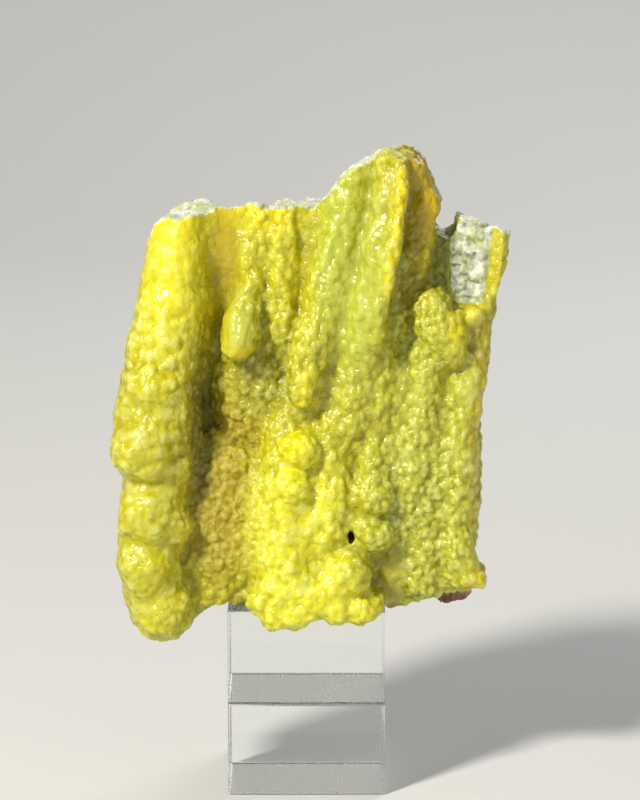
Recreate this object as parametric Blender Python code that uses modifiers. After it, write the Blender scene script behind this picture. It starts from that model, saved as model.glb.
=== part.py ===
"""A plate of yellow smithsonite standing on two clear display blocks.

The smithsonite grew as one piece: a thin wall of fused columns, like wax that ran down a
candle, with round knobs on it. Its top, its base and its back are broken rock. It stands on
the upper of two square clear blocks, and its front hangs a little over the block's front edge.

All sizes are in millimetres until the last step, which turns them into metres. X is to the
right, Y to the back and Z up. The origin is the middle of the lower block's underside.
Heights in the tables of the stone are above the upper block's top face.
"""

import math

import bmesh
import bpy
import numpy as np
from mathutils import Matrix, Vector, noise

MM = 0.001

BLOCK_WIDTH = 30.0
BLOCK_HEIGHT = 18.0
BLOCK_CHAMFER = 0.4
REST_GAP = 0.3
STAND_TOP = 2 * BLOCK_HEIGHT + REST_GAP
SEAT_DEPTH = 20.0

# Depths of the wall that the columns grow on, from front to back
WALL_FRONT = -7.0
WALL_BACK = 9.0
COLUMN_ROOT = -4.0

# The small beads of the skin, which the solid leaves out, stand this far out of the tables' sizes
BEAD_RISE = 0.65

GROWTH_VOXEL = 0.7
BREAK_VOXEL = 0.5
GROWTH_MELT_STEPS = 10
LOBE_SIZE = 7.0
LOBE_RELIEF = 1.0
LUMP_SIZE = 4.0
LUMP_RELIEF = 0.55
RELIEF_MIDDLE = 0.4
STONE_FACES = 9000

# The wall's outline as (x, z), from the foot of the left column round to the right
WALL_OUTLINE = [
    (-30.0, -1.5), (-33.0, 6.0), (-33.5, 20.0), (-33.5, 34.0), (-32.0, 45.0), (-30.0, 56.0),
    (-27.5, 66.0), (-26.5, 82.0), (-8.0, 82.0), (4.0, 82.0), (7.0, 89.0), (18.4, 90.0),
    (21.2, 85.6), (22.8, 80.0), (23.6, 75.0), (24.2, 71.5), (26.5, 70.0), (28.2, 71.0),
    (28.8, 76.0), (38.0, 76.0), (36.0, 61.0), (33.5, 52.0), (32.5, 40.0), (31.0, 28.0),
    (30.5, 16.0), (30.0, 8.0), (32.0, 3.0), (30.5, 1.0), (24.0, 0.0), (15.5, -1.5),
    (-12.0, -1.5), (-15.0, 0.0), (-19.0, -0.5), (-22.0, -2.5),
]

# Each column from top to foot, as (x, z, half width, depth of its front)
COLUMNS = {
    "outer": [
        (-23.6, 80.0, 5.0, -15.0), (-24.0, 70.0, 5.8, -17.0), (-25.0, 60.0, 6.4, -18.5),
        (-26.4, 52.0, 6.6, -20.0), (-27.8, 44.0, 6.8, -21.0), (-28.8, 36.0, 7.2, -22.4),
        (-28.6, 27.0, 6.0, -20.6), (-29.0, 20.0, 6.4, -21.6), (-29.4, 13.5, 6.0, -20.8),
        (-29.0, 5.0, 5.8, -20.2), (-28.0, 1.0, 5.8, -19.4),
    ],
    "outer_flank": [
        (-19.5, 80.0, 4.2, -12.0), (-19.8, 68.0, 4.4, -12.5), (-21.0, 58.0, 4.6, -13.0),
        (-23.0, 48.0, 4.6, -14.0), (-24.2, 38.0, 4.2, -15.0), (-24.4, 26.0, 4.2, -15.5),
        (-25.4, 18.0, 3.6, -15.5),
    ],
    "hollow": [(-15.0, 80.0, 4.0, -11.5), (-15.0, 66.0, 4.0, -11.5), (-15.5, 58.0, 3.4, -10.0)],
    "drop_stem": [
        (-9.2, 79.0, 2.6, -12.0), (-9.4, 72.0, 2.6, -12.5), (-10.2, 65.0, 2.6, -13.5),
        (-11.2, 59.0, 2.8, -15.5), (-12.4, 55.5, 3.2, -18.0), (-12.6, 52.5, 3.3, -18.8),
    ],
    "short": [
        (-3.8, 80.0, 3.0, -12.5), (-4.2, 70.0, 2.8, -13.0), (-4.6, 62.0, 2.8, -13.5),
        (-5.0, 56.0, 3.0, -13.5), (-4.8, 51.5, 1.8, -12.5), (-4.6, 48.5, 1.5, -12.0),
    ],
    "short_flank": [(0.4, 79.0, 2.6, -10.5), (-0.4, 66.0, 2.2, -11.0), (-1.0, 57.0, 2.0, -11.0)],
    "main": [
        (10.4, 88.0, 3.4, -11.5), (8.4, 80.0, 3.8, -13.0), (6.4, 72.0, 4.2, -14.0),
        (4.6, 64.0, 4.2, -15.0), (3.0, 57.0, 4.0, -16.0), (0.8, 51.0, 3.8, -17.5),
        (-0.8, 46.0, 2.8, -18.5), (-1.2, 41.5, 1.9, -18.0),
    ],
    "main_flank": [
        (9.0, 74.0, 2.6, -12.5), (7.6, 66.0, 2.8, -13.5), (6.4, 58.0, 3.0, -14.5),
        (5.0, 51.0, 3.0, -15.0),
    ],
    "blade": [
        (17.8, 85.5, 1.3, -15.0), (17.2, 80.0, 1.4, -17.6), (16.6, 74.0, 1.5, -18.8),
        (15.2, 67.0, 1.6, -19.4), (13.8, 61.0, 1.8, -19.2), (12.4, 54.0, 2.2, -18.2),
    ],
    "blade_face": [
        (15.4, 86.0, 2.2, -13.6), (14.9, 80.0, 2.5, -15.4), (14.1, 74.0, 2.7, -16.6),
        (12.9, 67.0, 2.9, -17.4), (11.8, 60.5, 3.0, -17.4), (10.6, 54.0, 3.5, -17.2),
        (9.6, 47.0, 3.8, -16.4), (8.4, 40.0, 3.8, -16.0), (7.0, 33.0, 3.8, -16.0),
    ],
    "peak": [
        (19.6, 84.0, 2.8, -11.5), (20.8, 79.0, 3.5, -11.0), (20.8, 73.5, 3.0, -11.5),
        (20.8, 68.5, 2.7, -11.5), (20.0, 62.0, 2.2, -10.5), (19.2, 55.0, 2.2, -10.0),
        (18.2, 47.0, 2.4, -10.5), (17.0, 38.0, 2.2, -11.0),
    ],
    "mid_right": [
        (14.0, 52.0, 2.6, -13.5), (13.4, 44.0, 3.2, -14.5), (12.6, 36.0, 3.4, -15.0),
        (12.4, 28.0, 3.6, -15.5), (12.6, 22.0, 3.6, -17.0),
    ],
    "shoulder": [
        (23.6, 58.4, 3.6, -15.4), (24.8, 55.6, 4.8, -16.6), (26.2, 52.4, 4.4, -16.2),
        (26.8, 49.6, 3.6, -14.6),
    ],
    "right_inner": [
        (22.8, 49.0, 3.2, -13.8), (22.2, 40.0, 3.6, -14.0), (21.0, 31.0, 3.8, -14.2),
        (20.0, 26.0, 3.0, -14.6), (19.6, 23.5, 2.2, -14.0),
    ],
    "right_foot": [(22.8, 18.0, 2.6, -12.4), (22.2, 11.0, 3.0, -12.8), (21.8, 4.5, 3.2, -13.0)],
    "right_edge": [
        (35.2, 79.0, 4.2, -9.6), (34.0, 68.0, 4.0, -9.8), (31.8, 57.0, 3.6, -10.2),
        (30.0, 47.0, 4.2, -12.4), (29.0, 36.0, 4.0, -13.2), (28.8, 25.0, 3.3, -13.6),
        (28.6, 14.0, 2.8, -13.6), (29.2, 7.0, 3.4, -13.8), (30.4, 5.8, 2.6, -13.8),
    ],
    "belt": [
        (-10.8, 42.0, 3.4, -9.5), (-12.8, 34.0, 3.6, -10.0), (-15.6, 25.0, 3.6, -10.5),
        (-19.0, 16.0, 4.0, -13.0), (-22.0, 9.0, 4.0, -15.0), (-22.0, 4.0, 3.4, -14.0),
    ],
    "seam": [(-12.6, 20.0, 2.6, -13.0), (-13.0, 11.0, 2.6, -13.5), (-12.4, 5.0, 2.4, -13.0)],
    "centre": [
        (-2.4, 40.0, 3.8, -14.0), (-4.0, 34.0, 4.6, -15.0), (-4.0, 26.0, 5.4, -17.0),
        (-4.2, 18.0, 6.2, -18.5), (-3.6, 10.0, 6.4, -19.5), (-4.0, 4.5, 5.2, -20.0),
    ],
    "centre_right": [(4.6, 36.0, 4.0, -15.5), (4.6, 26.0, 4.4, -17.0), (4.2, 16.0, 4.2, -18.0)],
    "gully_floor": [(16.2, 14.0, 3.4, -12.5), (15.8, 6.0, 3.4, -12.0), (15.4, 2.5, 3.0, -11.0)],
}

# Round knobs that stand out of the columns, as (x, z, radius, depth of the front)
KNOBS = [
    (-12.8, 52.2, 3.5, -19.0),
    (-30.6, 32.6, 6.1, -24.4),
    (-25.0, 29.5, 3.4, -20.5),
    (-28.2, 44.0, 6.2, -22.6),
    (-29.4, 20.2, 6.0, -23.6),
    (-30.2, 9.5, 5.6, -22.8),
    (-25.2, 17.5, 3.8, -21.0),
    (-27.2, 0.6, 6.2, -20.8),
    (-17.2, 32.0, 2.6, -11.5),
    (-13.0, 27.5, 3.4, -14.5),
    (-1.2, 32.2, 3.6, -19.8),
    (-2.4, 24.6, 3.6, -19.6),
    (-0.8, 44.5, 2.5, -19.0),
    (31.2, 56.6, 1.8, -12.6),
    (12.4, 22.4, 4.0, -17.6),
    (12.6, 14.8, 3.6, -17.6),
    (8.0, 7.6, 4.6, -20.4),
    (10.2, 0.6, 2.9, -19.8),
    (3.6, 4.2, 4.2, -20.0),
    (-6.2, -0.6, 2.8, -19.8),
    (-8.8, 2.0, 2.6, -18.6),
    (-2.6, 0.4, 3.2, -20.0),
    (1.2, 2.2, 3.4, -20.2),
    (5.8, 1.2, 3.2, -20.2),
    (12.2, 1.6, 2.8, -18.0),
    (22.2, 77.5, 3.2, -12.0),
    (20.9, 69.0, 2.8, -13.0),
    (17.6, 57.0, 1.6, -12.5),
    (32.2, 5.6, 1.8, -13.6),
    (33.3, 4.6, 1.1, -13.2),
]

# Broad swellings of the wall between the columns, as centre and half sizes in x, y and z
SWELLINGS = [
    ((18.0, -5.5, 27.0), (15.0, 8.4, 30.0)),
    ((24.0, -5.0, 26.0), (9.5, 7.6, 32.0)),
    ((10.0, -4.5, 62.0), (14.0, 8.4, 28.0)),
    ((14.0, -4.5, 78.0), (8.5, 7.2, 16.0)),
    ((-2.0, -8.0, 15.0), (13.5, 9.8, 19.0)),
    ((8.5, -7.0, 16.0), (7.0, 9.0, 15.0)),
    ((5.0, -5.5, 42.0), (10.0, 9.0, 18.0)),
    ((-10.0, -4.5, 46.0), (9.0, 8.5, 18.0)),
    ((-17.0, -6.0, 13.0), (12.0, 9.6, 22.0)),
    ((-9.0, -4.0, 70.0), (14.0, 7.5, 20.0)),
    ((-20.0, -4.5, 72.0), (7.5, 8.5, 18.0)),
]

# The top as it broke, as (x, height at the front, height at the back) from left to right
TOP_BREAK = [
    (-45.0, 66.0, 62.0), (-30.5, 71.0, 66.0), (-28.2, 74.0, 69.0), (-26.2, 75.4, 71.2),
    (-25.2, 75.8, 74.2), (-23.0, 75.8, 75.8), (-21.0, 76.0, 77.0), (-18.6, 76.2, 76.4),
    (-16.6, 77.2, 73.6), (-14.0, 78.2, 71.0), (-12.2, 78.4, 71.0), (-10.6, 79.4, 71.0),
    (-8.4, 78.2, 71.4), (-6.8, 77.4, 73.0), (-6.0, 77.2, 75.2), (-2.8, 77.0, 75.8),
    (-2.2, 77.2, 75.2), (-1.2, 77.0, 75.9), (1.4, 77.6, 76.1), (3.6, 79.4, 75.6),
    (5.2, 80.8, 77.2), (6.6, 82.8, 80.2), (8.2, 84.2, 81.8), (10.6, 85.6, 83.2),
    (13.0, 87.2, 84.4), (15.4, 88.6, 84.8), (18.0, 89.8, 84.6), (20.0, 89.6, 84.0),
    (21.6, 88.4, 83.0), (23.2, 85.6, 80.0), (24.8, 81.0, 76.0), (26.4, 76.5, 73.6),
    (27.8, 75.4, 73.2), (29.2, 75.6, 72.8), (33.0, 74.4, 71.4), (38.6, 72.2, 69.4),
    (46.0, 70.0, 67.0),
]

TOP_FRONT = -14.0
TOP_BACK = 6.0
TOP_ROUGHNESS = 0.8
TOP_GRAIN = 0.4
TOP_STEP = 1.2

# How far the cut-away solids reach past the stone
CUT_FRONT = -30.0
CUT_REAR = 24.0
CUT_SKY = 100.0
CUT_GROUND = -20.0
CUT_BEHIND = 40.0

# The lower edge on both sides of the middle lobes, as (x, z); the lobes themselves hang free
FOOT_BREAK = [
    (-26.0, -9.0), (-24.2, -4.4), (-22.0, -3.0), (-20.0, -0.6), (-17.0, 1.0), (-14.8, 1.4),
    (-12.5, -0.2), (-9.5, -1.3), (-8.2, -2.9), (-7.7, -9.0), (10.6, -9.0), (12.4, -3.4),
    (14.5, -1.5), (18.0, -0.7), (22.5, 0.6), (25.0, 1.1), (26.0, 2.2), (32.5, 2.3), (36.0, 4.2),
]
FOOT_STEP = 1.0

# The right edge lost its front above this height, which bared a flat grey-white face
SCAR_FOOT = 58.0
SCAR_LEFT = 27.2
SCAR_DEPTH = -6.5
SCAR_TURN_DEGREES = -14.0
SCAR_REACH = 30.0

# A narrow pit between two lobes, as (x, z), its width and height, and where it ends
PIT = (8.4, 14.8)
PIT_SIZE = (1.1, 3.0)
PIT_END = -8.0

# A rusty lump of the rock behind, at the lower right
RUST_LUMP = (28.6, 1.0, -0.2)
RUST_LUMP_RADII = (3.6, 3.2, 1.7)

# The back as it broke off the rock: flat facets about this wide, tipped this much and
# shifted by this share of their width, on slow swells
BACK_FACET = 6.0
BACK_DEPTH = 4.0
BACK_TIP = 2.6
BACK_SHIFT = 0.4
BACK_SWELL = 2.2
BACK_RUFFLE = 0.37
BACK_ROLL = 0.035


def clear_scene():
    for obj in list(bpy.data.objects):
        bpy.data.objects.remove(obj)


def new_collection(name):
    collection = bpy.data.collections.new(name)
    bpy.context.scene.collection.children.link(collection)
    return collection


def new_material(name, colour, roughness, transmission=0.0, ior=1.5):
    material = bpy.data.materials.new(name)
    material.use_nodes = True
    shader = material.node_tree.nodes["Principled BSDF"]
    shader.inputs["Base Color"].default_value = (*colour, 1.0)
    shader.inputs["Roughness"].default_value = roughness
    shader.inputs["Metallic"].default_value = 0.0
    shader.inputs["Transmission Weight"].default_value = transmission
    shader.inputs["IOR"].default_value = ior
    return material


def object_from(bm, name, collection, material=None):
    mesh = bpy.data.meshes.new(name)
    bm.to_mesh(mesh)
    bm.free()
    obj = bpy.data.objects.new(name, mesh)
    collection.objects.link(obj)
    if material:
        mesh.materials.append(material)
    return obj


def make_cutter(obj):
    obj.hide_render = True
    obj.display_type = "WIRE"
    return obj


def smooth_path(points, step):
    """Points about a step apart on a Catmull-Rom curve through the given ones."""
    ends = [points[0], *points, points[-1]]
    path = []
    for before, start, end, after in zip(ends, ends[1:], ends[2:], ends[3:]):
        a, b, c, d = (Vector(p) for p in (before, start, end, after))
        count = max(1, round(math.dist(start[:2], end[:2]) / step))
        for i in range(count):
            t = i / count
            path.append(
                0.5 * (2 * b + (c - a) * t + (2 * a - 5 * b + 4 * c - d) * t**2
                       + (3 * b - a - 3 * c + d) * t**3)
            )
    path.append(Vector(points[-1]))
    return path


def ball_pattern():
    """One ball of radius 1, which every nose and knob is a scaled copy of."""
    bm = bmesh.new()
    bmesh.ops.create_icosphere(bm, subdivisions=2, radius=1.0)
    pattern = bpy.data.meshes.new("ball")
    bm.to_mesh(pattern)
    bm.free()
    return pattern


def add_ball(bm, pattern, centre, radii):
    ball = pattern.copy()
    size = [radius + BEAD_RISE for radius in radii]
    ball.transform(Matrix.Translation(centre) @ Matrix.Diagonal((*size, 1.0)))
    bm.from_mesh(ball)
    bpy.data.meshes.remove(ball)


def add_nose(bm, pattern, x, z, radius, front):
    """A round nose at the front, and the body that carries it back to the wall."""
    depth = front + radius
    while depth < COLUMN_ROOT + radius:
        add_ball(bm, pattern, (x, depth, z), (radius,) * 3)
        depth += 0.8 * radius


def add_wall(bm, collection):
    """The wall behind the columns: its outline as a filled curve with half the thickness."""
    curve = bpy.data.curves.new("wall_outline", "CURVE")
    curve.dimensions = "2D"
    curve.fill_mode = "BOTH"
    curve.extrude = (WALL_BACK - WALL_FRONT) / 2
    spline = curve.splines.new("POLY")
    spline.points.add(len(WALL_OUTLINE) - 1)
    for point, (x, z) in zip(spline.points, WALL_OUTLINE):
        point.co = (x, z, 0.0, 1.0)
    spline.use_cyclic_u = True
    guide = bpy.data.objects.new("wall_outline", curve)
    collection.objects.link(guide)
    guide.rotation_euler = (math.radians(90), 0.0, 0.0)
    guide.location.y = (WALL_FRONT + WALL_BACK) / 2
    bpy.context.view_layer.update()
    graph = bpy.context.evaluated_depsgraph_get()
    wall = bpy.data.meshes.new_from_object(guide.evaluated_get(graph))
    wall.transform(guide.matrix_world)
    bm.from_mesh(wall)
    bpy.data.objects.remove(guide)
    bpy.data.meshes.remove(wall)


def add_growth(bm):
    pattern = ball_pattern()
    for points in COLUMNS.values():
        step = 0.35 * min(point[2] for point in points)
        for x, z, radius, front in smooth_path(points, max(step, 1.0)):
            add_nose(bm, pattern, x, z, radius, front)
    for x, z, radius, front in KNOBS:
        add_nose(bm, pattern, x, z, radius, front)
    for centre, radii in SWELLINGS:
        add_ball(bm, pattern, centre, radii)
    add_ball(bm, pattern, RUST_LUMP, RUST_LUMP_RADII)


def voronoi_lumps(name, size):
    """Round lumps with creases between them: the square of the distance to each centre."""
    texture = bpy.data.textures.new(name, "VORONOI")
    texture.distance_metric = "DISTANCE_SQUARED"
    texture.noise_scale = size
    texture.noise_intensity = 1.0
    return texture


def add_remesh(obj, voxel):
    remesh = obj.modifiers.new("grown_together", "REMESH")
    remesh.mode = "VOXEL"
    remesh.voxel_size = voxel
    return remesh


def add_displace(obj, texture, strength):
    displace = obj.modifiers.new(texture.name, "DISPLACE")
    displace.texture = texture
    displace.strength = strength
    displace.mid_level = RELIEF_MIDDLE
    displace.texture_coords = "LOCAL"
    return displace


def apply_modifiers(obj):
    """Bakes what the modifiers make into the mesh, so that the next ones start from it."""
    graph = bpy.context.evaluated_depsgraph_get()
    mesh = bpy.data.meshes.new_from_object(obj.evaluated_get(graph))
    obj.modifiers.clear()
    obj.data = mesh


def cut_off(obj, cutter):
    cut = obj.modifiers.new(cutter.name, "BOOLEAN")
    cut.operation = "DIFFERENCE"
    cut.solver = "MANIFOLD"
    cut.object = cutter
    apply_modifiers(obj)


def sheet_cutter(name, collection, rows, axis, far):
    """A sheet of points as a solid: the sheet, and a flat face at the far value of an axis."""
    bm = bmesh.new()
    grid = [[bm.verts.new(point) for point in row] for row in rows]
    sheet = []
    for left, right in zip(grid, grid[1:]):
        for j in range(len(left) - 1):
            sheet.append(bm.faces.new((left[j], right[j], right[j + 1], left[j + 1])))
    made = bmesh.ops.extrude_face_region(bm, geom=sheet)
    for vert in (item for item in made["geom"] if isinstance(item, bmesh.types.BMVert)):
        vert.co[axis] = far
    bmesh.ops.recalc_face_normals(bm, faces=bm.faces)
    return make_cutter(object_from(bm, name, collection))


def make_top_cutter(collection):
    """What is missing above the top break, with the coarse relief of broken rock on it."""
    rows = []
    for x, front, back in smooth_path(TOP_BREAK, TOP_STEP):
        row = []
        for y in np.arange(CUT_FRONT, CUT_REAR, 2 * TOP_STEP):
            share = (y - TOP_FRONT) / (TOP_BACK - TOP_FRONT)
            rough = TOP_ROUGHNESS * noise.noise(Vector((x * TOP_GRAIN, y * TOP_GRAIN, 3.0)))
            row.append((x, y, front + share * (back - front) + rough + BEAD_RISE))
        rows.append(row)
    return sheet_cutter("top_break", collection, rows, 2, CUT_SKY)


def make_foot_cutter(collection):
    """What is missing below the lower edge. The rusty lump, which hangs there, is left whole."""
    edge = np.array(FOOT_BREAK)
    rows = []
    for x in np.arange(edge[0, 0] - 2.0, edge[-1, 0] + 2.0, FOOT_STEP):
        row = []
        for y in np.arange(CUT_FRONT, CUT_REAR, 1.5 * FOOT_STEP):
            across = (x - RUST_LUMP[0]) / (RUST_LUMP_RADII[0] + 1.0)
            deep = (y - RUST_LUMP[1]) / (RUST_LUMP_RADII[1] + 1.0)
            height = np.interp(x, edge[:, 0], edge[:, 1])
            at_lump = across**2 + deep**2 < 1
            row.append((x, y, edge[0, 1] if at_lump else height))
        rows.append(row)
    return sheet_cutter("foot_break", collection, rows, 2, CUT_GROUND)


def back_noise(x, z, scale, layer):
    return noise.noise(Vector((x * scale, layer, z * scale)))


def make_back_cutter(collection):
    """What is missing behind the back break: a sheet of facets with a slow swell in it."""
    rows = []
    for i in range(-9, 10):
        row = []
        for k in range(-4, 18):
            x, z = i * BACK_FACET, k * BACK_FACET
            right, tip, up = (back_noise(x, z, BACK_RUFFLE, layer) for layer in (1.3, 8.6, 15.9))
            swell = BACK_SWELL * back_noise(x, z, BACK_ROLL, 8.0)
            depth = BACK_DEPTH + 2 * swell + 2 * BACK_TIP * tip
            shift = BACK_SHIFT * BACK_FACET
            row.append((x + shift * right, depth, z + shift * up))
        rows.append(row)
    return sheet_cutter("back_break", collection, rows, 1, CUT_BEHIND)


def make_box_cutter(name, collection, low, high, turn_degrees=0.0):
    """A box between two corners, turned about the upright edge at its back left."""
    bm = bmesh.new()
    bmesh.ops.create_cube(bm, size=1.0)
    size = Vector(high) - Vector(low)
    edge = Vector((low[0], high[1], low[2]))
    place = (
        Matrix.Translation(edge)
        @ Matrix.Rotation(math.radians(turn_degrees), 4, "Z")
        @ Matrix.Translation((size.x / 2, -size.y / 2, size.z / 2))
        @ Matrix.Diagonal((*size, 1.0))
    )
    bmesh.ops.transform(bm, matrix=place, verts=bm.verts)
    return make_cutter(object_from(bm, name, collection))


def make_pit_cutter(collection):
    """A wedge that narrows upwards, driven into the front."""
    x, z = PIT
    width, height = PIT_SIZE
    bm = bmesh.new()
    bmesh.ops.create_cone(
        bm, cap_ends=True, segments=6, radius1=width / 2, radius2=0.25 * width, depth=height
    )
    depth = PIT_END - CUT_FRONT
    stretch = Matrix.Diagonal((1.0, 2 * depth / width, 1.0, 1.0))
    bmesh.ops.transform(
        bm, matrix=Matrix.Translation((x, CUT_FRONT, z)) @ stretch, verts=bm.verts
    )
    return make_cutter(object_from(bm, "pit", collection))


def make_scar_cutter(collection):
    low = (SCAR_LEFT, SCAR_DEPTH - SCAR_REACH, SCAR_FOOT)
    high = (SCAR_LEFT + SCAR_REACH, SCAR_DEPTH, SCAR_FOOT + SCAR_REACH)
    return make_box_cutter("scar", collection, low, high, SCAR_TURN_DEGREES)


def make_seat_cutter(collection):
    """Keeps the stone off the top of the block it stands on."""
    reach = BLOCK_WIDTH / 2 + REST_GAP
    return make_box_cutter(
        "seat", collection, (-reach, -reach, -SEAT_DEPTH), (reach, reach, REST_GAP)
    )


def make_stone(collection, cutters, material):
    bm = bmesh.new()
    add_wall(bm, cutters)
    add_growth(bm)
    stone = object_from(bm, "smithsonite", collection, material)
    add_remesh(stone, GROWTH_VOXEL)
    melt = stone.modifiers.new("melted_together", "SMOOTH")
    melt.factor = 0.5
    melt.iterations = GROWTH_MELT_STEPS
    add_displace(stone, voronoi_lumps("lobes", LOBE_SIZE), -LOBE_RELIEF)
    add_displace(stone, voronoi_lumps("lumps", LUMP_SIZE), -LUMP_RELIEF)
    add_remesh(stone, BREAK_VOXEL)
    apply_modifiers(stone)
    makers = (
        make_top_cutter, make_foot_cutter, make_back_cutter, make_pit_cutter, make_scar_cutter,
        make_seat_cutter,
    )
    for maker in makers:
        cut_off(stone, maker(cutters))
    add_remesh(stone, BREAK_VOXEL)
    apply_modifiers(stone)
    thin = stone.modifiers.new("facets", "DECIMATE")
    thin.ratio = STONE_FACES / sum(len(face.vertices) - 2 for face in stone.data.polygons)
    apply_modifiers(stone)
    stone.data.transform(Matrix.Translation((0.0, 0.0, STAND_TOP)))
    stone.data.transform(Matrix.Scale(MM, 4))
    return stone


def make_block(name, foot, collection, material):
    """One clear block with polished chamfers, standing at the given height."""
    bm = bmesh.new()
    bmesh.ops.create_cube(bm, size=1.0)
    bmesh.ops.scale(bm, vec=(BLOCK_WIDTH, BLOCK_WIDTH, BLOCK_HEIGHT), verts=bm.verts)
    bmesh.ops.scale(bm, vec=(MM, MM, MM), verts=bm.verts)
    block = object_from(bm, name, collection, material)
    block.location.z = (foot + BLOCK_HEIGHT / 2) * MM
    chamfer = block.modifiers.new("chamfer", "BEVEL")
    chamfer.width = BLOCK_CHAMFER * MM
    chamfer.segments = 1
    return block


def main():
    clear_scene()
    part = new_collection("smithsonite_on_clear_blocks")
    cutters = new_collection("cutters")
    smithsonite = new_material("yellow smithsonite", (0.78, 0.70, 0.07), 0.32)
    acrylic = new_material("clear acrylic", (0.97, 0.99, 0.98), 0.02, 1.0, 1.49)
    make_block("lower_clear_block", 0.0, part, acrylic)
    make_block("upper_clear_block", BLOCK_HEIGHT + REST_GAP, part, acrylic)
    make_stone(part, cutters, smithsonite)


main()
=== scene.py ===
# %% [markdown]
# # Yellow smithsonite on two clear acrylic blocks
#
# Smithsonite is zinc carbonate. Here it grew as a wall of fused columns, like wax that ran down a
# candle, and its skin is made of thousands of small round beads. Collectors call that form
# botryoidal. It stands on two square blocks of clear acrylic, as museum shops sell them.
#
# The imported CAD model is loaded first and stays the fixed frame: each piece made below takes the
# place of one CAD node.

import math
from functools import partial

import bmesh
import bpy
import numpy as np
from mathutils import Matrix, Vector, noise
from mathutils.bvhtree import BVHTree
from mathutils.kdtree import KDTree


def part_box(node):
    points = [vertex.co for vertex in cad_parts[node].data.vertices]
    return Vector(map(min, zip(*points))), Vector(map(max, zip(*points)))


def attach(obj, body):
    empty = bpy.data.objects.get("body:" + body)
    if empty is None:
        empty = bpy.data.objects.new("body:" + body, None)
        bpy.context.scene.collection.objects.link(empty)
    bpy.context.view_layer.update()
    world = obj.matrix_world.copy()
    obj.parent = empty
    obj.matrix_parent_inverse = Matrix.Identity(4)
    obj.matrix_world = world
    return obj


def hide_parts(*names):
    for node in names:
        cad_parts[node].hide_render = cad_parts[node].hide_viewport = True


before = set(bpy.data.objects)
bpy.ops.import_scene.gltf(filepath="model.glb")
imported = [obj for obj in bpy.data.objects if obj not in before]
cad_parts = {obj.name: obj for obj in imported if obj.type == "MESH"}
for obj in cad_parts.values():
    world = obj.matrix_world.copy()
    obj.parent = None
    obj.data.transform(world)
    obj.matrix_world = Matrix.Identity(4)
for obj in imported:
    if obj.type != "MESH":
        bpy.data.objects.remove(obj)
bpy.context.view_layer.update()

# %% [markdown]
# ## Units, colours and nodes
#
# The stone is worked out in millimetres, with heights counted from the top face of the upper
# block, because that is how it was read off the photograph. Blender works in metres, so one
# factor and one shift bring it into the frame. Colours are written as sRGB hex, as a colour
# picker shows them, and a shader wants linear light, so one function turns them. One more
# function adds a shader node with its settings and links. A node's inputs are given by name, or
# in their own order as a plain row, which keeps the long chains of small sums short.

# %% Helpers for units, colours and nodes
MM = 0.001
PER_MM = 1000.0
stand_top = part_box("upper_clear_block")[1].z
print("top of the stand:", round(stand_top / MM, 2), "mm")


def linear(hex_colour):
    """An sRGB hex colour as linear red, green and blue."""
    channels = [int(hex_colour[i : i + 2], 16) / 255 for i in (1, 3, 5)]
    return [c / 12.92 if c <= 0.04045 else ((c + 0.055) / 1.055) ** 2.4 for c in channels]


def rgba(hex_colour):
    return (*linear(hex_colour), 1.0)


def plug(node, inputs):
    """Sets or links a node's inputs: numbers, colours, or the outputs of other nodes."""
    for name, value in inputs.items() if isinstance(inputs, dict) else enumerate(inputs):
        if isinstance(value, bpy.types.NodeSocket):
            node.id_data.links.new(value, node.inputs[name])
        else:
            node.inputs[name].default_value = value


def add_node(tree, kind, inputs=(), out=0, **settings):
    """Adds a node with its settings and links, and gives back one of its outputs."""
    node = tree.nodes.new("ShaderNode" + kind)
    for name, value in settings.items():
        setattr(node, name, value)
    plug(node, inputs)
    return node.outputs[out]


def new_material(name):
    """A new material, its Principled shader, and add_node for its tree."""
    material = bpy.data.materials.new(name)
    material.use_nodes = True
    shader = material.node_tree.nodes["Principled BSDF"]
    return material, shader, partial(add_node, material.node_tree)
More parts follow.
